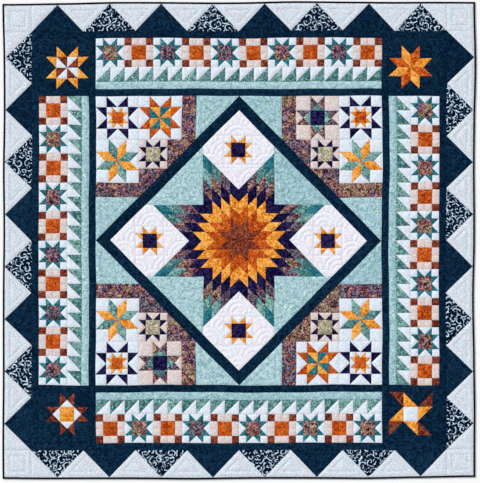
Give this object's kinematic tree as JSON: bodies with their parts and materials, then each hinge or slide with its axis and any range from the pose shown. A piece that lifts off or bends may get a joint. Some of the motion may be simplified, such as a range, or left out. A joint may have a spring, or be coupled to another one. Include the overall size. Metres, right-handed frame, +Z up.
{
  "type": "star quilt blanket",
  "caption": "flat pieced quilt with a big eight-point star on point, star blocks, a dogtooth border and a dark folded binding",
  "frame": {"origin": "middle of the quilt's outline, on the surface that it lies on", "axes": "+Z up through the cloth to its pieced face, +Y to the edge at the top of the picture, +X to its right edge"},
  "size_m": [2.525, 2.5492, 0.0066],
  "materials": {
    "pieced_cotton": "quilted cotton, matt",
    "binding_cotton": "folded cotton strip, matt"
  },
  "bodies": {
    "root": {"quilt_body": "pieced_cotton", "binding_top": "binding_cotton", "binding_left": "binding_cotton", "binding_bottom": "binding_cotton", "binding_right": "binding_cotton"}
  },
  "joints": []
}
